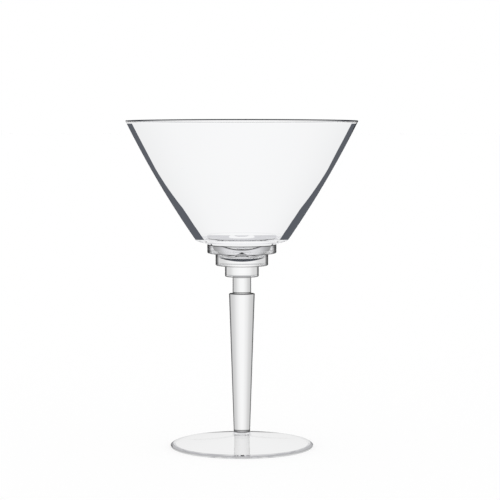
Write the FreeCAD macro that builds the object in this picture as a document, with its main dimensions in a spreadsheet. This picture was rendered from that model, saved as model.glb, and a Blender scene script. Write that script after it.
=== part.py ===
"""Clear crystal martini glass with a stepped collar under the bowl.

Every piece is a turned solid, round about Z. The glass stands on Z = 0, at the centre of its
foot, and the bowl opens upwards. From the bottom up the pieces are the foot, the stem, the neck,
three collar steps and the bowl. Each one is fused to the next across a flat round face. The bowl
has a narrow flat floor round a well, which is a cap of a sphere and runs down into the collar.
"""

import FreeCAD
import Part
import Sketcher
import math
import os

SHEET = "Sizes"


class Size:
    """A length in millimetres that keeps its number together with its spreadsheet expression."""

    def __init__(self, number, text):
        self.number = number
        self.text = text

    def __add__(self, other):
        return Size(self.number + other.number, f"({self.text} + {other.text})")

    def __sub__(self, other):
        return Size(self.number - other.number, f"({self.text} - {other.text})")

    def squared(self):
        return Size(self.number**2, f"({self.text})^2")

    def over(self, other):
        return Size(self.number / other.number, f"({self.text} / {other.text})")

    def half(self):
        return Size(self.number / 2, f"({self.text} / 2)")


ZERO = Size(0, "0")


class Sizes:
    """The spreadsheet of driving dimensions: a name, a number and a note on each row."""

    def __init__(self, doc):
        self.sheet = doc.addObject("Spreadsheet::Sheet", SHEET)
        self.row = 0

    def add(self, name, number, note):
        self.row += 1
        self.sheet.set(f"A{self.row}", name)
        self.sheet.set(f"B{self.row}", str(number))
        self.sheet.set(f"C{self.row}", note)
        self.sheet.setAlias(f"B{self.row}", name)
        return Size(number, f"{SHEET}.{name}")


def plane_of(body, role):
    """One of the body's own origin planes, such as XZ_Plane."""
    return next(item for item in body.Origin.OriginFeatures if item.Role == role)


def outward_arc(start, end, radius):
    """The arc of that radius between two points that curves away from the axis. A sketch counts an
    arc anticlockwise, so the lower point comes first."""
    low, high = sorted((start, end), key=lambda point: point.y)
    run = high - low
    outward = FreeCAD.Vector(run.y, -run.x, 0).normalize()
    swell = radius - math.sqrt(radius**2 - (run.Length / 2) ** 2)
    middle = (low + high) * 0.5 + outward * swell
    return Part.Arc(low, middle, high)


def swell_radius(start, end, swell):
    """The radius of an arc from the corner start to the corner end whose middle stands that far off
    the straight run: half the square of half the chord over the swell, plus half the swell."""
    half_wide = (end[0] - start[0]).half()
    half_tall = (end[1] - start[1]).half()
    half_chord_squared = half_wide.squared() + half_tall.squared()
    return half_chord_squared.over(swell).half() + swell.half()


def bind(sketch, kind, places, size, name):
    """Adds a driving dimension to the sketch and ties it to the spreadsheet."""
    index = sketch.addConstraint(Sketcher.Constraint(kind, *places, size.number))
    sketch.renameConstraint(index, name)
    sketch.setExpression(f"Constraints.{name}", size.text)


def draw_run(sketch, start, end, radius):
    """Draws one run of an outline. Returns its number, and which of its ends come first and last."""
    if radius is None:
        return sketch.addGeometry(Part.LineSegment(start, end), False), 1, 2
    number = sketch.addGeometry(outward_arc(start, end, radius.number), False)
    return (number, 1, 2) if end.y > start.y else (number, 2, 1)


def turned_outline(sketch, corners):
    """Draws a closed half section. A corner is (radius, height), and an arc's radius may follow to
    make the run that leaves the corner an arc. ZERO puts the corner on an axis of the sketch."""
    origin, upright, level = -1, -2, -1
    points = [FreeCAD.Vector(corner[0].number, corner[1].number, 0) for corner in corners]
    arcs = [corner[2] if len(corner) == 3 else None for corner in corners]
    runs = [draw_run(sketch, *run) for run in zip(points, points[1:] + points[:1], arcs)]
    for run, after in zip(runs, runs[1:] + runs[:1]):
        sketch.addConstraint(Sketcher.Constraint("Coincident", run[0], run[2], after[0], after[1]))
    for index, (radius, height) in enumerate(corner[:2] for corner in corners):
        number, first, _ = runs[index]
        if radius is ZERO:
            sketch.addConstraint(Sketcher.Constraint("PointOnObject", number, first, upright))
        else:
            bind(sketch, "DistanceX", (origin, 1, number, first), radius, f"corner_{index}_radius")
        if height is ZERO:
            sketch.addConstraint(Sketcher.Constraint("PointOnObject", number, first, level))
        else:
            bind(sketch, "DistanceY", (origin, 1, number, first), height, f"corner_{index}_height")
        if arcs[index]:
            bind(sketch, "Radius", (number,), arcs[index], f"arc_{index}_radius")


def section_sketch(body, name, corners):
    """A half section of the body on its own XZ plane."""
    sketch = body.newObject("Sketcher::SketchObject", f"{body.Label}_{name}_section")
    sketch.AttachmentSupport = [(plane_of(body, "XZ_Plane"), "")]
    sketch.MapMode = "FlatFace"
    turned_outline(sketch, corners)
    return sketch


def turn_section(doc, body, kind, name, corners):
    """Turns a half section one full turn about Z, to add glass (Revolution) or remove it (Groove)."""
    sketch = section_sketch(body, name, corners)
    turn = body.newObject(f"PartDesign::{kind}", f"{body.Label}_{name}")
    turn.Profile = sketch
    turn.ReferenceAxis = (sketch, ["V_Axis"])
    turn.Angle = 360.0
    body.Tip = turn
    doc.recompute()


def turned_body(doc, label, corners):
    """A new body, turned from its half section."""
    body = doc.addObject("PartDesign::Body", label)
    body.Label = label
    turn_section(doc, body, "Revolution", "turned", corners)
    return body


def hollow_well(doc, body):
    """Cuts the well out of a piece, and stops if the cut took nothing away."""
    solid_volume = body.Shape.Volume
    above_floor = floor_top + floor_thickness
    turn_section(doc, body, "Groove", "well", [
        (ZERO, well_bottom, well_sphere),
        (well_radius, floor_top),
        (well_radius, above_floor),
        (ZERO, above_floor),
    ])
    if body.Shape.Volume > solid_volume - 1:
        raise RuntimeError(f"the well cut nothing from {body.Label}")


def circle_edge(shape, radius, height):
    """The name of the round edge of that radius at that height."""
    for index, edge in enumerate(shape.Edges):
        curve = edge.Curve
        round_edge = isinstance(curve, Part.Circle) and abs(curve.Radius - radius.number) < 1e-4
        if round_edge and abs(curve.Center.z - height.number) < 1e-4:
            return f"Edge{index + 1}"
    raise RuntimeError(f"no round edge of radius {radius.number} at height {height.number}")


def soften(doc, body, name, size, circles):
    """Rounds off the named circles of a body, each given as (radius, height)."""
    base = body.Tip
    fillet = body.newObject("PartDesign::Fillet", f"{body.Label}_{name}")
    fillet.Base = (base, [circle_edge(base.Shape, *circle) for circle in circles])
    fillet.Radius = size.number
    fillet.setExpression("Radius", size.text)
    body.Tip = fillet
    doc.recompute()


doc = FreeCAD.newDocument("martini_glass")
sizes = Sizes(doc)

# Foot: a thin round disc that rises gently to the stem and rests on a narrow flat ring.
foot_radius = sizes.add("foot_radius", 36.2, "outer radius of the foot")
foot_edge = sizes.add("foot_edge_height", 1.0, "height of the widest line of the foot's edge")
foot_thickness = sizes.add("foot_thickness", 1.8, "thickness of the foot near its edge")
foot_shoulder = sizes.add("foot_shoulder_inset", 1.4, "how far the top of the edge lies inside it")
ring_inset = sizes.add("rest_ring_inset", 0.4, "from the outer radius in to the resting ring")
ring_width = sizes.add("rest_ring_width", 2.4, "width of the flat resting ring")
hollow_height = sizes.add("foot_hollow_height", 4.6, "height of the hollow under the foot's middle")
hollow_radius = sizes.add("foot_hollow_radius", 4.0, "radius of the flat top of that hollow")
foot_rise = sizes.add("foot_rise", 6.6, "height of the foot's top face where the flare begins")
flare_width = sizes.add("foot_flare_width", 0.8, "how far the flare spreads beyond the stem")
flare_height = sizes.add("foot_flare_height", 0.8, "height of the flare under the stem")

# Stem: a long cone, wider at its top, and the straight neck above it.
stem_foot_radius = sizes.add("stem_foot_radius", 4.1, "radius of the stem where it meets the foot")
stem_top_radius = sizes.add("stem_top_radius", 6.5, "radius of the stem at its shoulder")
stem_length = sizes.add("stem_length", 70.4, "length of the tapered stem")
neck_radius = sizes.add("neck_radius", 4.65, "radius of the neck above the stem")
neck_length = sizes.add("neck_length", 8.7, "length of the neck")

# Collar: three round steps under the bowl, each wider than the one below it.
lower_radius = sizes.add("lower_step_radius", 8.5, "radius of the lowest step")
lower_height = sizes.add("lower_step_height", 5.7, "height of the lowest step")
middle_radius = sizes.add("middle_step_radius", 13.25, "radius of the middle step")
middle_height = sizes.add("middle_step_height", 6.2, "height of the middle step")
upper_radius = sizes.add("upper_step_radius", 17.4, "radius of the upper step")
upper_height = sizes.add("upper_step_height", 4.5, "height of the upper step")

# Bowl: a wide cone with a slight swell. Its inner wall bends below the middle, so that the glass is
# thin above the bend and grows thick towards the floor.
underside_rise = sizes.add("bowl_underside_rise", 1.95, "rise of the bowl's underside to its corner")
corner_radius = sizes.add("bowl_corner_radius", 23.2, "outer radius of the bowl's bottom corner")
floor_thickness = sizes.add("bowl_floor_thickness", 4.2, "from the collar up to the bowl's floor")
floor_radius = sizes.add("bowl_floor_radius", 20.4, "inner radius of the bowl's floor")
bowl_height = sizes.add("bowl_height", 62.1, "from the top of the collar to the rim")
rim_radius = sizes.add("rim_radius", 58.4, "outer radius of the rim")
rim_wall = sizes.add("rim_wall", 2.2, "width of the rim's flat top")
outer_swell = sizes.add("outer_swell", 1.3, "how far the outer wall swells beyond a straight cone")
bend_radius = sizes.add("inner_bend_radius", 38.3, "inner radius where the inner wall bends")
bend_rise = sizes.add("inner_bend_rise", 24.9, "height of that bend above the bowl's floor")

# Well: the rounded hollow in the bowl's floor, which reaches down into the two upper steps.
well_radius = sizes.add("well_radius", 17.7, "radius of the well's mouth in the bowl's floor")
well_depth = sizes.add("well_depth", 12.8, "depth of the well below the bowl's floor")

# Softened edges.
rim_round = sizes.add("rim_rounding", 0.2, "rounding of the rim's two edges")
step_round = sizes.add("step_rounding", 0.45, "rounding of the lower edge of each step")
fine_round = sizes.add("fine_rounding", 0.2, "rounding of the other outer edges")
bend_round = sizes.add("inner_bend_rounding", 180.0, "rounding of the bend in the inner wall")

# Heights of the joints between the pieces, from the foot up.
stem_bottom = foot_rise + flare_height
stem_top = stem_bottom + stem_length
neck_top = stem_top + neck_length
lower_top = neck_top + lower_height
middle_top = lower_top + middle_height
upper_top = middle_top + upper_height
floor_top = upper_top + floor_thickness
rim_top = upper_top + bowl_height

# The sphere that hollows out the well, found from the well's mouth and its depth.
well_bottom = floor_top - well_depth
well_sphere = well_radius.squared().over(well_depth).half() + well_depth.half()


def make_foot():
    flare_radius = stem_foot_radius + flare_width
    ring_outer = foot_radius - ring_inset
    shoulder = foot_radius - foot_shoulder
    body = turned_body(doc, "foot", [
        (ZERO, hollow_height),
        (hollow_radius, hollow_height),
        (ring_outer - ring_width, ZERO),
        (ring_outer, ZERO),
        (foot_radius, foot_edge),
        (shoulder, foot_thickness),
        (flare_radius, foot_rise),
        (stem_foot_radius, stem_bottom),
        (ZERO, stem_bottom),
    ])
    soften(doc, body, "edge", fine_round, [(foot_radius, foot_edge), (shoulder, foot_thickness)])


def make_stem():
    body = turned_body(doc, "stem", [
        (ZERO, stem_bottom),
        (stem_foot_radius, stem_bottom),
        (stem_top_radius, stem_top),
        (ZERO, stem_top),
    ])
    soften(doc, body, "shoulder", fine_round, [(stem_top_radius, stem_top)])


def make_neck():
    turned_body(doc, "neck", [
        (ZERO, stem_top),
        (neck_radius, stem_top),
        (neck_radius, neck_top),
        (ZERO, neck_top),
    ])


def make_lower_step():
    body = turned_body(doc, "lower_step", [
        (ZERO, neck_top),
        (lower_radius, neck_top),
        (lower_radius, lower_top),
        (ZERO, lower_top),
    ])
    soften(doc, body, "edge", step_round, [(lower_radius, neck_top)])


def make_middle_step():
    body = turned_body(doc, "middle_step", [
        (ZERO, lower_top),
        (middle_radius, lower_top),
        (middle_radius, middle_top),
        (ZERO, middle_top),
    ])
    hollow_well(doc, body)
    soften(doc, body, "edge", step_round, [(middle_radius, lower_top)])


def make_upper_step():
    body = turned_body(doc, "upper_step", [
        (ZERO, middle_top),
        (upper_radius, middle_top),
        (upper_radius, upper_top),
        (ZERO, upper_top),
    ])
    hollow_well(doc, body)
    soften(doc, body, "edge", step_round, [(upper_radius, middle_top)])


def make_bowl():
    outer_corner = (corner_radius, upper_top + underside_rise)
    outer_rim = (rim_radius, rim_top)
    inner_rim = (rim_radius - rim_wall, rim_top)
    inner_bend = (bend_radius, floor_top + bend_rise)
    body = turned_body(doc, "bowl", [
        (ZERO, upper_top),
        (upper_radius, upper_top),
        (*outer_corner, swell_radius(outer_corner, outer_rim, outer_swell)),
        outer_rim,
        inner_rim,
        inner_bend,
        (floor_radius, floor_top),
        (ZERO, floor_top),
    ])
    hollow_well(doc, body)
    soften(doc, body, "bend", bend_round, [inner_bend])
    soften(doc, body, "rim", rim_round, [outer_rim, inner_rim])
    soften(doc, body, "corner", fine_round, [outer_corner])
    soften(doc, body, "mouth", fine_round, [(well_radius, floor_top)])


def check_document():
    """Stops if any object failed to compute."""
    for item in doc.Objects:
        if "Invalid" in item.State or "Error" in item.State:
            raise RuntimeError(f"{item.Name} did not compute: {item.State}")


def write_pieces():
    """Checks each piece's solid and writes it to its own STEP file."""
    pieces = [item for item in doc.Objects if item.TypeId == "PartDesign::Body"]
    for piece in pieces:
        shape = piece.Shape
        if shape.isNull() or not shape.isValid() or len(shape.Solids) != 1:
            raise RuntimeError(f"{piece.Label} is not one valid solid")
    os.makedirs("parts", exist_ok=True)
    for piece in pieces:
        piece.Shape.exportStep(f"parts/{piece.Label}.step")
        box = piece.Shape.BoundBox
        print(f"{piece.Label}: {piece.Shape.Volume:.1f} mm3, Z {box.ZMin:.2f} to {box.ZMax:.2f}")


make_foot()
make_stem()
make_neck()
make_lower_step()
make_middle_step()
make_upper_step()
make_bowl()
doc.recompute()
check_document()
write_pieces()
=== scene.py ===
"""Looks of the martini glass: seven turned pieces of clear crystal, fused face to face, standing on
a white floor in soft studio light. Lengths are written in millimetres and made in metres."""

import math
import bpy
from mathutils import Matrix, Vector


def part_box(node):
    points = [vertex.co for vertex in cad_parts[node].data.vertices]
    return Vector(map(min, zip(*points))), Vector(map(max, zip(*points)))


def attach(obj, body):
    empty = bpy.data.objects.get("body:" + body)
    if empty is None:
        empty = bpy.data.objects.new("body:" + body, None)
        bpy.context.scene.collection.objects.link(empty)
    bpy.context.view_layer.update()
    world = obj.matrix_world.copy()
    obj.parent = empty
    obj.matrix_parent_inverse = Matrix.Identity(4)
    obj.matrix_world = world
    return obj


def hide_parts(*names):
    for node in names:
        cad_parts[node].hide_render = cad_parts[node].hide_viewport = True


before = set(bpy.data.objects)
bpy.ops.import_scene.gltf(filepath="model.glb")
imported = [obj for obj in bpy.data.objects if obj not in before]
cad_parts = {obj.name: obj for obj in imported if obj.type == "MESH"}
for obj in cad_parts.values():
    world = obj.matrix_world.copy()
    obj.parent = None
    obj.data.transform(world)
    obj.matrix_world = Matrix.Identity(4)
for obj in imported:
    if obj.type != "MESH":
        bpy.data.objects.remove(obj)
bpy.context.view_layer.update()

MM = 0.001
TINY = 1e-6
TURNS = 256

# Sizes in millimetres that the boxes of the CAD nodes don't give.
STEM_FOOT_RADIUS = 4.1
FLOOR_RADIUS, FLOOR_RISE = 20.4, 4.2
WELL_RADIUS, WELL_DEPTH = 17.7, 12.8
CORNER_RADIUS, CORNER_RISE = 23.2, 1.95
RIM_RADIUS, RIM_WALL = 58.4, 2.2
OUTER_SWELL = 1.3
BEND_RADIUS, BEND_RISE, BEND_ROUND = 38.3, 24.9, 180.0
STEP_ROUND, RIM_ROUND, FINE_ROUND = 0.45, 0.2, 0.2
FOOT_EDGE, FOOT_THICKNESS, SHOULDER_INSET = 1.0, 1.8, 1.4
RING_INSET, RING_WIDTH = 0.4, 2.4
HOLLOW_RADIUS, HOLLOW_HEIGHT, HOLLOW_ROUND = 4.0, 4.6, 1.0
FLARE_WIDTH, FLARE_HEIGHT = 0.8, 0.8

# Where the finish, which is painted shade, changes on a smooth surface, in millimetres.
CREASE, ANKLE_CREASE = 0.45, 0.72
RIM_LINE, BRIM_WIDTH = 0.6, 0.4
DIMPLE_HEIGHT = 1.8

# How far the inner wall goes out for each millimetre that it rises at the rim, and how much of the
# foot's slanted edge is below its painted dark line.
RIM_SLOPE, BROW_SHARE = 0.53, 0.7


# ---------------------------------------------------------------- outlines
# A run is a list of stations along one smooth stretch of an outline. A station is a point (radius,
# height) and the glass's outward direction there. An outline goes out along the bottom, up and back.

def unit(x, y):
    length = math.hypot(x, y)
    return x / length, y / length


def line(start, end):
    """A straight run."""
    along = unit(end[0] - start[0], end[1] - start[1])
    outward = (along[1], -along[0])
    return [(start, outward), (end, outward)]


def arc(start, end, radius, steps):
    """A run along a circle that bulges away from the axis."""
    chord = math.dist(start, end)
    along = unit(end[0] - start[0], end[1] - start[1])
    rising = 1 if end[1] > start[1] else -1
    right = (along[1] * rising, -along[0] * rising)
    back = math.sqrt(radius**2 - (chord / 2) ** 2)
    centre = [(start[axis] + end[axis]) / 2 - right[axis] * back for axis in (0, 1)]
    half = math.asin(chord / 2 / radius)
    first = math.atan2(start[1] - centre[1], start[0] - centre[0])
    stations = []
    for step in range(steps + 1):
        angle = first + rising * 2 * half * step / steps
        ray = (math.cos(angle), math.sin(angle))
        point = (centre[0] + radius * ray[0], centre[1] + radius * ray[1])
        stations.append((point, (ray[0] * rising, ray[1] * rising)))
    return stations


def swell_radius(start, end, swell):
    """The radius of the circle that bulges from a chord by the swell."""
    half_chord = math.dist(start, end) / 2
    return (half_chord**2 / swell + swell) / 2


def rounding(before, after, radius, steps=6):
    """Trims two runs where they meet and returns the small arc that joins them."""
    corner, first = before[-1]
    last = after[0][1]
    turn = math.atan2(first[0] * last[1] - first[1] * last[0], first[0] * last[0] + first[1] * last[1])
    reach = radius * math.tan(abs(turn) / 2)
    bend = math.copysign(1, turn)
    start = (corner[0] + first[1] * reach, corner[1] - first[0] * reach)
    end = (corner[0] - last[1] * reach, corner[1] + last[0] * reach)
    before[-1] = (start, first)
    after[0] = (end, last)
    centre = (start[0] - bend * radius * first[0], start[1] - bend * radius * first[1])
    stations = []
    for step in range(steps + 1):
        angle = math.atan2(first[1], first[0]) + turn * step / steps
        ray = (math.cos(angle), math.sin(angle))
        stations.append(((centre[0] + bend * radius * ray[0], centre[1] + bend * radius * ray[1]), ray))
    return stations


def joined(*parts):
    """Puts runs and the roundings between them together: run, rounding radius, run and so on. Each
    run is (stations, finish), and so is each of the stretches that this returns."""
    runs = [part for part in parts if not isinstance(part, (int, float))]
    radii = [part for part in parts if isinstance(part, (int, float))]
    stretches = []
    for index, (stations, finish) in enumerate(runs):
        corner = None
        if index < len(radii) and radii[index] > 0:
            corner = rounding(stations, runs[(index + 1) % len(runs)][0], radii[index])
        stretches.append((stations, finish))
        if corner:
            stretches.append((corner, finish))
    return stretches


def rings_and_bands(stretches):
    """The points of an outline, each once, and the bands between them: the two points' places in
    that list, the glass's outward direction at each, and the finish."""
    points, bands = [], []
    for stations, finish in stretches:
        for (here, outward_here), (there, outward_there) in zip(stations, stations[1:]):
            if not points:
                points.append(here)
            previous = len(points) - 1
            following = 0
            if math.dist(there, points[0]) > TINY:
                points.append(there)
                following = previous + 1
            bands.append((previous, following, outward_here, outward_there, finish))
    return points, bands


def turned_mesh(name, stretches):
    """A closed mesh made by turning an outline about Z, with the true direction of the surface at
    every corner of every face."""
    points, bands = rings_and_bands(stretches)
    angles = [math.tau * turn / TURNS for turn in range(TURNS)]
    spokes = [(math.cos(angle), math.sin(angle)) for angle in angles]
    vertices, rings = [], []
    for radius, height in points:
        on_axis = radius < TINY
        rings.append([len(vertices) + (0 if on_axis else turn) for turn in range(TURNS)])
        for x, y in spokes[:1] if on_axis else spokes:
            vertices.append((radius * x * MM, radius * y * MM, height * MM))
    faces, directions, slots = [], [], []
    finishes = sorted({band[4] for band in bands})
    for first, second, outward_first, outward_second, finish in bands:
        for turn in range(TURNS):
            after = (turn + 1) % TURNS
            corners = [
                (rings[first][turn], turn, outward_first),
                (rings[first][after], after, outward_first),
                (rings[second][after], after, outward_second),
                (rings[second][turn], turn, outward_second),
            ]
            if points[first][0] < TINY:
                corners.pop(0)
            if points[second][0] < TINY:
                corners.pop()
            faces.append([corner[0] for corner in corners])
            slots.append(finishes.index(finish))
            for _, spoke, (across, up) in corners:
                directions.append((across * spokes[spoke][0], across * spokes[spoke][1], up))
    mesh = bpy.data.meshes.new(name)
    mesh.from_pydata(vertices, [], faces)
    mesh.polygons.foreach_set("material_index", slots)
    mesh.polygons.foreach_set("use_smooth", [True] * len(faces))
    mesh.normals_split_custom_set(directions)
    for finish in finishes:
        mesh.materials.append(FINISHES[finish])
    return mesh


# ---------------------------------------------------------------- node helpers

def add_node(tree, kind, **settings):
    """A node with its settings and inputs. An input is a number, a colour or another node's socket."""
    node = tree.nodes.new(kind)
    inputs = settings.pop("inputs", {})
    for setting, value in settings.items():
        setattr(node, setting, value)
    for socket, value in inputs.items():
        if isinstance(value, bpy.types.NodeSocket):
            tree.links.new(value, node.inputs[socket])
        else:
            node.inputs[socket].default_value = value
    return node


def calculate(tree, operation, *values):
    return add_node(tree, "ShaderNodeMath", operation=operation, inputs=dict(enumerate(values))).outputs[0]


def more_than(tree, depth, bounces):
    """1 for light that has bounced more often than this, and 0 for the rest."""
    return calculate(tree, "GREATER_THAN", depth, bounces + 0.5)


def ramp(tree, value, none, full):
    """0 up to the first place and 1 from the second on, with a soft step between. The first can be
    the higher one."""
    inputs = {"Value": value, "From Min": none, "From Max": full}
    return add_node(tree, "ShaderNodeMapRange", interpolation_type="SMOOTHSTEP", inputs=inputs).outputs[0]


def graded(tree, value, stops):
    """A painted shade read off a scale of (place, brightness) stops, with the glass's faint cool tint."""
    node = add_node(tree, "ShaderNodeValToRGB", inputs={"Fac": value})
    scale = node.color_ramp.elements
    while len(scale) < len(stops):
        scale.new(0.5)  # moved to its place below
    for mark, (place, brightness) in zip(scale, stops):
        mark.position = place
        mark.color = (brightness * TINT[0], brightness * TINT[1], brightness * TINT[2], 1.0)
    return node.outputs["Color"]


def blended(tree, share, first, second):
    inputs = {0: share, 6: first, 7: second}
    return add_node(tree, "ShaderNodeMix", data_type="RGBA", inputs=inputs).outputs[2]


# ---------------------------------------------------------------- materials

WHITE = (1.0, 1.0, 1.0, 1.0)
# A painted dark reflection: the colour given to light mirrored inside the bowl's wall, in place of dark
# surroundings.
SLATE_PAINTED_REFLECTION = (0.116, 0.124, 0.142, 1.0)
TINT = (0.990, 0.991, 0.993)
# A painted dark line: the colour of the rim's inner edge to a ray from outside.
RIM_PAINTED_SHADE = (0.03, 0.033, 0.04, 1.0)
GLASS_IOR = 1.5
MIRROR_STARTS, MIRROR_FULL = 0.93, 0.99
RIPPLES_PER_METRE, RIPPLE_DETAIL, RIPPLE_STRENGTH, RIPPLE_HEIGHT = 60.0, 2.0, 0.05, 0.1


def new_material(name):
    """A material with an output and nothing else. Returns it, its nodes and the output's socket."""
    material = bpy.data.materials.new(name)
    material.use_nodes = True
    tree = material.node_tree
    tree.nodes.clear()
    return material, tree, add_node(tree, "ShaderNodeOutputMaterial").inputs["Surface"]


def rippled(tree):
    """The faint ripple that fire polishing leaves."""
    place = add_node(tree, "ShaderNodeTexCoord").outputs["Object"]
    pattern = {"Vector": place, "Scale": RIPPLES_PER_METRE, "Detail": RIPPLE_DETAIL}
    noise = add_node(tree, "ShaderNodeTexNoise", inputs=pattern).outputs["Fac"]
    shape = {"Height": noise, "Strength": RIPPLE_STRENGTH, "Distance": RIPPLE_HEIGHT * MM}
    return add_node(tree, "ShaderNodeBump", inputs=shape).outputs[0]


def crystal(name, stops, mirrored):
    """Clear crystal that mirrors nothing on its outside unless the eye skims it. The stops are painted
    shade: how much light it passes, from where it faces the eye to where the eye grazes it. Light
    that can't leave is thrown back inside in the mirrored colour, a painted dark reflection where it
    isn't white, which can be stops too, and in white from the second time on."""
    material, tree, surface = new_material(name)
    normal = rippled(tree)
    facing = add_node(tree, "ShaderNodeLayerWeight").outputs["Facing"]
    colour = graded(tree, facing, stops)
    if isinstance(mirrored, list):
        mirrored = graded(tree, facing, mirrored)
    if mirrored != WHITE:
        again = more_than(tree, add_node(tree, "ShaderNodeLightPath").outputs["Glossy Depth"], 0)
        mirrored = blended(tree, again, mirrored, WHITE)
    glass = {"Color": mirrored, "Roughness": 0.0, "IOR": GLASS_IOR, "Normal": normal}
    thrown = add_node(tree, "ShaderNodeBsdfGlass", inputs=glass).outputs[0]
    passed = add_node(tree, "ShaderNodeBsdfRefraction", inputs={**glass, "Color": colour}).outputs[0]
    mirror = add_node(tree, "ShaderNodeFresnel", inputs={"IOR": GLASS_IOR}).outputs[0]
    share = ramp(tree, mirror, MIRROR_STARTS, MIRROR_FULL)
    mixed = add_node(tree, "ShaderNodeMixShader", inputs={0: share, 1: passed, 2: thrown}).outputs[0]
    tree.links.new(mixed, surface)
    return material


def crystal_rim():
    """The inner edge of the rim: painted dark to a ray that meets it from outside, which makes a fine
    painted line of shade, and clear to a ray from inside the glass."""
    material, tree, surface = new_material("crystal_rim")
    inside = add_node(tree, "ShaderNodeNewGeometry").outputs["Backfacing"]
    colour = blended(tree, inside, RIM_PAINTED_SHADE, WHITE)
    glass = {"Color": colour, "Roughness": 0.0, "IOR": GLASS_IOR}
    tree.links.new(add_node(tree, "ShaderNodeBsdfGlass", inputs=glass).outputs[0], surface)
    return material


def crystal_foot():
    """The broad faces of the foot. They mirror the stem as plain glass does, and their stops, which are
    painted shade, count only for a ray that meets them from outside."""
    material, tree, surface = new_material("crystal_foot")
    facing = add_node(tree, "ShaderNodeLayerWeight").outputs["Facing"]
    inside = add_node(tree, "ShaderNodeNewGeometry").outputs["Backfacing"]
    colour = blended(tree, inside, graded(tree, facing, FOOT_PAINTED_SHADE), WHITE)
    glass = {"Color": colour, "Roughness": 0.0, "IOR": GLASS_IOR, "Normal": rippled(tree)}
    tree.links.new(add_node(tree, "ShaderNodeBsdfGlass", inputs=glass).outputs[0], surface)
    return material


def fused_face():
    """The face where two pieces are fused: light goes straight through from glass to glass."""
    material, tree, surface = new_material("fused_face")
    tree.links.new(add_node(tree, "ShaderNodeBsdfTransparent").outputs[0], surface)
    return material


# Painted shade for each finish, by how the surface faces the eye, from 0 where it faces it to 1 where the
# eye grazes it. The dark stops paint the glass's dark edges, lines and stripes in place of dark
# surroundings.
WALL_PAINTED_SHADE = [(0.0, 0.996), (0.3, 0.985), (0.6, 0.965), (1.0, 0.95)]
FOOT_PAINTED_SHADE = [(0.0, 0.99), (0.5, 0.97), (0.66, 0.895), (0.95, 0.86), (0.98, 0.22), (1.0, 0.15)]
FOOT_EDGE_PAINTED_SHADE = [(0.0, 0.86), (0.5, 0.80), (1.0, 0.70)]
FOOT_LINE_PAINTED_SHADE = [(0.0, 0.70), (0.5, 0.60), (1.0, 0.40)]
# A painted grey reflection: the colour of light mirrored inside the foot's edge.
FOOT_EDGE_PAINTED_REFLECTION = (0.80, 0.80, 0.82, 1.0)
CREASE_PAINTED_SHADE = [(0.0, 0.30), (0.3, 0.18), (0.6, 0.10), (1.0, 0.05)]
EDGE_PAINTED_SHADE = [(0.0, 0.96), (0.10, 0.80), (0.25, 0.40), (1.0, 0.10)]
# A painted dark band in the light mirrored inside the well, by how the surface faces the eye.
WELL_PAINTED_REFLECTION = [(0.0, 0.04), (0.262, 0.05), (0.275, 0.35), (0.295, 0.97), (1.0, 0.99)]
UPRIGHT_PAINTED_SHADE = [
    (0.0, 0.975), (0.023, 0.968), (0.055, 0.914), (0.134, 0.877), (0.20, 0.79), (0.267, 0.755),
    (0.362, 0.714), (0.50, 0.76), (0.60, 0.40), (0.70, 0.12), (1.0, 0.05),
]
STEP_PAINTED_SHADE = [
    (0.0, 0.985), (0.055, 0.955), (0.134, 0.915), (0.20, 0.83), (0.267, 0.78), (0.40, 0.78), (0.50, 0.84),
    (0.58, 0.45), (0.68, 0.12), (1.0, 0.05),
]

# Each finish but the fused face is the same clear crystal with its own painted shade; wall, foot_edge and
# well also have a painted dark reflection.
FINISHES = {
    "wall": crystal("crystal_wall", WALL_PAINTED_SHADE, SLATE_PAINTED_REFLECTION),
    "polished": crystal("crystal_polished", WALL_PAINTED_SHADE, WHITE),
    "foot": crystal_foot(),
    "foot_line": crystal("crystal_foot_line", FOOT_LINE_PAINTED_SHADE, WHITE),
    "foot_edge": crystal("crystal_foot_edge", FOOT_EDGE_PAINTED_SHADE, FOOT_EDGE_PAINTED_REFLECTION),
    "upright": crystal("crystal_upright", UPRIGHT_PAINTED_SHADE, WHITE),
    "well": crystal("crystal_well", WALL_PAINTED_SHADE, WELL_PAINTED_REFLECTION),
    "edge": crystal("crystal_edge", EDGE_PAINTED_SHADE, WHITE),
    "crease": crystal("crystal_crease", CREASE_PAINTED_SHADE, WHITE),
    "step": crystal("crystal_step", STEP_PAINTED_SHADE, WHITE),
    "rim": crystal_rim(),
    "fused": fused_face(),
}


# ---------------------------------------------------------------- the pieces

def heights(node):
    """The heights of a node's bottom and top."""
    low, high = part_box(node)
    return low.z / MM, high.z / MM


FOOT_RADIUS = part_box("foot")[1].x / MM
STEM_BOTTOM, STEM_TOP = heights("stem")
STEM_TOP_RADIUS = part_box("stem")[1].x / MM
NECK_TOP = heights("neck")[1]
LOWER_TOP = heights("lower_step")[1]
MIDDLE_TOP = heights("middle_step")[1]
UPPER_TOP = heights("upper_step")[1]
RIM_TOP = heights("bowl")[1]
NECK_RADIUS, LOWER_RADIUS, MIDDLE_RADIUS, UPPER_RADIUS = [
    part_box(node)[1].x / MM for node in ("neck", "lower_step", "middle_step", "upper_step")
]
FLOOR_TOP = UPPER_TOP + FLOOR_RISE
WELL_BOTTOM = FLOOR_TOP - WELL_DEPTH
WELL_SPHERE = (WELL_RADIUS**2 / WELL_DEPTH + WELL_DEPTH) / 2


def well_radius_at(height):
    return math.sqrt(WELL_SPHERE**2 - (WELL_BOTTOM + WELL_SPHERE - height) ** 2)


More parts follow.
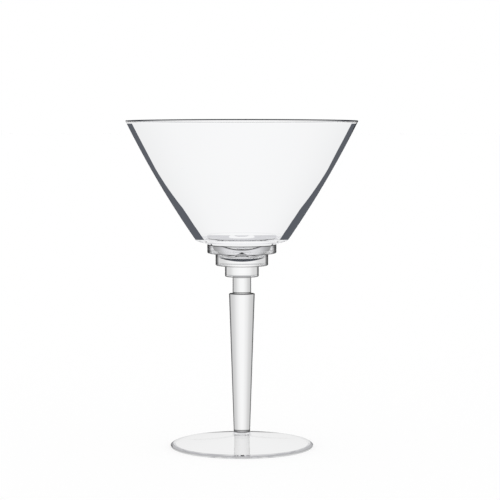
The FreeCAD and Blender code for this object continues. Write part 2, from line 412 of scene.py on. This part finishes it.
def foot_outline():
    rest_outer = FOOT_RADIUS - RING_INSET
    rest_inner = rest_outer - RING_WIDTH
    rise = STEM_BOTTOM - FLARE_HEIGHT
    edge = (FOOT_RADIUS, FOOT_EDGE)
    brow = (FOOT_RADIUS - (1 - BROW_SHARE) * RING_INSET, BROW_SHARE * FOOT_EDGE)
    shoulder = (FOOT_RADIUS - SHOULDER_INSET, FOOT_THICKNESS)
    flare = (STEM_FOOT_RADIUS + FLARE_WIDTH, rise)
    return joined(
        (line((0, HOLLOW_HEIGHT), (HOLLOW_RADIUS, HOLLOW_HEIGHT)), "polished"), HOLLOW_ROUND,
        (line((HOLLOW_RADIUS, HOLLOW_HEIGHT), (rest_inner, 0)), "foot"), FINE_ROUND,
        (line((rest_inner, 0), (rest_outer, 0)), "foot_edge"), FINE_ROUND,
        (line((rest_outer, 0), brow), "foot_edge"), 0,
        (line(brow, edge), "foot_line"), FINE_ROUND,
        (line(edge, shoulder), "foot_edge"), FINE_ROUND,
        (line(shoulder, flare), "foot"), FLARE_WIDTH,
        (line(flare, (STEM_FOOT_RADIUS, STEM_BOTTOM)), "polished"), 0,
        (line((STEM_FOOT_RADIUS, STEM_BOTTOM), (0, STEM_BOTTOM)), "fused"),
    )


def stem_outline():
    shoulder = (STEM_TOP_RADIUS, STEM_TOP)
    share = ANKLE_CREASE / (STEM_TOP - STEM_BOTTOM)
    ankle = (STEM_FOOT_RADIUS + share * (STEM_TOP_RADIUS - STEM_FOOT_RADIUS), STEM_BOTTOM + ANKLE_CREASE)
    return joined(
        (line((0, STEM_BOTTOM), (STEM_FOOT_RADIUS, STEM_BOTTOM)), "fused"), 0,
        (line((STEM_FOOT_RADIUS, STEM_BOTTOM), ankle), "crease"), 0,
        (line(ankle, shoulder), "upright"), FINE_ROUND,
        (line(shoulder, (NECK_RADIUS, STEM_TOP)), "edge"), 0,
        (line((NECK_RADIUS, STEM_TOP), (0, STEM_TOP)), "fused"),
    )


def neck_outline():
    return joined(
        (line((0, STEM_TOP), (NECK_RADIUS, STEM_TOP)), "fused"), 0,
        (line((NECK_RADIUS, STEM_TOP), (NECK_RADIUS, STEM_TOP + CREASE)), "crease"), 0,
        (line((NECK_RADIUS, STEM_TOP + CREASE), (NECK_RADIUS, NECK_TOP - CREASE)), "upright"), 0,
        (line((NECK_RADIUS, NECK_TOP - CREASE), (NECK_RADIUS, NECK_TOP)), "crease"), 0,
        (line((NECK_RADIUS, NECK_TOP), (0, NECK_TOP)), "fused"),
    )


def lower_step_outline():
    return joined(
        (line((0, NECK_TOP), (NECK_RADIUS, NECK_TOP)), "fused"), 0,
        (line((NECK_RADIUS, NECK_TOP), (LOWER_RADIUS, NECK_TOP)), "edge"), STEP_ROUND,
        (line((LOWER_RADIUS, NECK_TOP), (LOWER_RADIUS, LOWER_TOP)), "step"), 0,
        (line((LOWER_RADIUS, LOWER_TOP), (0, LOWER_TOP)), "fused"),
    )


def middle_step_outline():
    brink = (well_radius_at(MIDDLE_TOP), MIDDLE_TOP)
    ring = (well_radius_at(MIDDLE_TOP - CREASE), MIDDLE_TOP - CREASE)
    dimple = (well_radius_at(WELL_BOTTOM + DIMPLE_HEIGHT), WELL_BOTTOM + DIMPLE_HEIGHT)
    return joined(
        (line((0, LOWER_TOP), (LOWER_RADIUS, LOWER_TOP)), "fused"), 0,
        (line((LOWER_RADIUS, LOWER_TOP), (MIDDLE_RADIUS, LOWER_TOP)), "edge"), STEP_ROUND,
        (line((MIDDLE_RADIUS, LOWER_TOP), (MIDDLE_RADIUS, MIDDLE_TOP)), "step"), 0,
        (line((MIDDLE_RADIUS, MIDDLE_TOP), brink), "fused"), 0,
        (arc(brink, ring, WELL_SPHERE, steps=2), "crease"), 0,
        (arc(ring, dimple, WELL_SPHERE, steps=16), "well"), 0,
        (arc(dimple, (0, WELL_BOTTOM), WELL_SPHERE, steps=8), "wall"),
    )


def upper_step_outline():
    low, high = well_radius_at(MIDDLE_TOP), well_radius_at(UPPER_TOP)
    return joined(
        (line((low, MIDDLE_TOP), (MIDDLE_RADIUS, MIDDLE_TOP)), "fused"), 0,
        (line((MIDDLE_RADIUS, MIDDLE_TOP), (UPPER_RADIUS, MIDDLE_TOP)), "edge"), STEP_ROUND,
        (line((UPPER_RADIUS, MIDDLE_TOP), (UPPER_RADIUS, UPPER_TOP - CREASE)), "step"), 0,
        (line((UPPER_RADIUS, UPPER_TOP - CREASE), (UPPER_RADIUS, UPPER_TOP)), "crease"), 0,
        (line((UPPER_RADIUS, UPPER_TOP), (high, UPPER_TOP)), "fused"), 0,
        (arc((high, UPPER_TOP), (low, MIDDLE_TOP), WELL_SPHERE, steps=12), "well"), 0,
    )


def bowl_outline():
    well = well_radius_at(UPPER_TOP)
    corner = (CORNER_RADIUS, UPPER_TOP + CORNER_RISE)
    outer_rim, inner_rim = (RIM_RADIUS, RIM_TOP), (RIM_RADIUS - RIM_WALL, RIM_TOP)
    brim = (inner_rim[0] + BRIM_WIDTH, RIM_TOP)
    lip = (inner_rim[0] - RIM_SLOPE * RIM_LINE, RIM_TOP - RIM_LINE)
    bend, floor = (BEND_RADIUS, FLOOR_TOP + BEND_RISE), (FLOOR_RADIUS, FLOOR_TOP)
    outer_radius = swell_radius(corner, outer_rim, OUTER_SWELL)
    return joined(
        (line((well, UPPER_TOP), (UPPER_RADIUS, UPPER_TOP)), "fused"), 0,
        (line((UPPER_RADIUS, UPPER_TOP), corner), "polished"), FINE_ROUND,
        (arc(corner, outer_rim, outer_radius, steps=24), "wall"), RIM_ROUND,
        (line(outer_rim, brim), "polished"), 0,
        (line(brim, inner_rim), "rim"), RIM_ROUND,
        (line(inner_rim, lip), "rim"), 0,
        (line(lip, bend), "wall"), BEND_ROUND,
        (line(bend, floor), "wall"), FINE_ROUND,
        (line(floor, (WELL_RADIUS, FLOOR_TOP)), "polished"), FINE_ROUND,
        (arc((WELL_RADIUS, FLOOR_TOP), (well, UPPER_TOP), WELL_SPHERE, steps=12), "well"), 0,
    )


def make_piece(node, outline):
    """One piece of crystal in the place of its CAD node. Rays from the floor pass it by."""
    piece = bpy.data.objects.new(f"{node}_crystal", turned_mesh(node, outline))
    bpy.context.scene.collection.objects.link(piece)
    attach(piece, "root")
    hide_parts(node)
    piece.visible_diffuse = False


make_piece("foot", foot_outline())
make_piece("stem", stem_outline())
make_piece("neck", neck_outline())
make_piece("lower_step", lower_step_outline())
make_piece("middle_step", middle_step_outline())
make_piece("upper_step", upper_step_outline())
make_piece("bowl", bowl_outline())


# ---------------------------------------------------------------- studio

FLOOR_HALF = 8000
DIM = (0.93, 0.93, 0.95, 1.0)
HAZE = (0.72, 0.72, 0.74, 1.0)

# Where the light changes, as the upward part of a direction: 0 is the horizon and 1 is straight up.
DIM_ENDS = (-0.60, -0.15)
OVERHEAD_HAZE = (0.45, 0.65)
LOW_HAZE, HIGH_HAZE = (-0.16, -0.50), (0.08, 0.35)


def make_floor():
    """A plain white floor. Light that goes through the glass or off it misses the floor and finds the
    studio's light below, as on a light table."""
    mesh = bpy.data.meshes.new("studio_floor")
    half = FLOOR_HALF * MM
    corners = [(-half, -half, 0), (half, -half, 0), (half, half, 0), (-half, half, 0)]
    mesh.from_pydata(corners, [], [(0, 1, 2, 3)])
    floor = bpy.data.objects.new("studio_floor", mesh)
    bpy.context.scene.collection.objects.link(floor)
    material = bpy.data.materials.new("pale_floor")
    material.use_nodes = True
    shader = material.node_tree.nodes["Principled BSDF"]
    shader.inputs["Base Color"].default_value = WHITE
    shader.inputs["Roughness"].default_value = 1.0
    shader.inputs["Specular IOR Level"].default_value = 0.0
    mesh.materials.append(material)
    floor.visible_transmission = False
    floor.visible_glossy = False


def make_studio_light():
    """Even white light from all round. Light that has been mirrored inside the glass finds it a
    little dimmer far down, and hazy overhead. Light that has only been bent, through one face or
    two, finds haze both high and low."""
    world = bpy.data.worlds.new("studio")
    bpy.context.scene.world = world
    world.use_nodes = True
    tree = world.node_tree
    tree.nodes.clear()
    direction = add_node(tree, "ShaderNodeTexCoord").outputs["Generated"]
    up = add_node(tree, "ShaderNodeSeparateXYZ", inputs={0: direction}).outputs["Z"]
    path = add_node(tree, "ShaderNodeLightPath")
    mirrored = more_than(tree, path.outputs["Glossy Depth"], 0)
    through = more_than(tree, path.outputs["Transmission Depth"], 0)
    often = more_than(tree, path.outputs["Transmission Depth"], 2)
    inside = calculate(tree, "MULTIPLY", mirrored, through)
    thrown = blended(tree, ramp(tree, up, *DIM_ENDS), DIM, WHITE)
    thrown = blended(tree, ramp(tree, up, *OVERHEAD_HAZE), thrown, HAZE)
    low = ramp(tree, up, *LOW_HAZE)
    high = ramp(tree, up, *HIGH_HAZE)
    bent = calculate(tree, "MULTIPLY", calculate(tree, "MAXIMUM", low, high), through)
    bent = calculate(tree, "MULTIPLY", bent, calculate(tree, "SUBTRACT", 1.0, often))
    colour = blended(tree, inside, blended(tree, bent, WHITE, HAZE), thrown)
    light = add_node(tree, "ShaderNodeBackground", inputs={"Color": colour})
    output = add_node(tree, "ShaderNodeOutputWorld")
    tree.links.new(light.outputs[0], output.inputs["Surface"])


CAMERA_DISTANCE, CAMERA_HEIGHT, AIM_HEIGHT = 994.6, 178.0, 99.84
AIM_RIGHT = 4.1
SENSOR_WIDTH, LENS = 36, 142.55
NEAREST, FARTHEST = 10, 100000
BOUNCES = 96


def make_camera():
    """A long lens a little above the rim, looking along +Y."""
    data = bpy.data.cameras.new("camera")
    camera = bpy.data.objects.new("camera", data)
    bpy.context.scene.collection.objects.link(camera)
    bpy.context.scene.camera = camera
    camera.location = Vector((0, -CAMERA_DISTANCE, CAMERA_HEIGHT)) * MM
    aim = Vector((AIM_RIGHT, 0, AIM_HEIGHT)) * MM
    camera.rotation_euler = (aim - camera.location).to_track_quat("-Z", "Y").to_euler()
    data.sensor_width = SENSOR_WIDTH
    data.lens = LENS
    data.clip_start = NEAREST * MM
    data.clip_end = FARTHEST * MM


make_floor()
make_studio_light()
make_camera()

scene = bpy.context.scene
scene.view_settings.view_transform = "Standard"
scene.cycles.max_bounces = BOUNCES
scene.cycles.min_light_bounces = BOUNCES
scene.cycles.glossy_bounces = BOUNCES
scene.cycles.transmission_bounces = BOUNCES
scene.cycles.transparent_max_bounces = BOUNCES
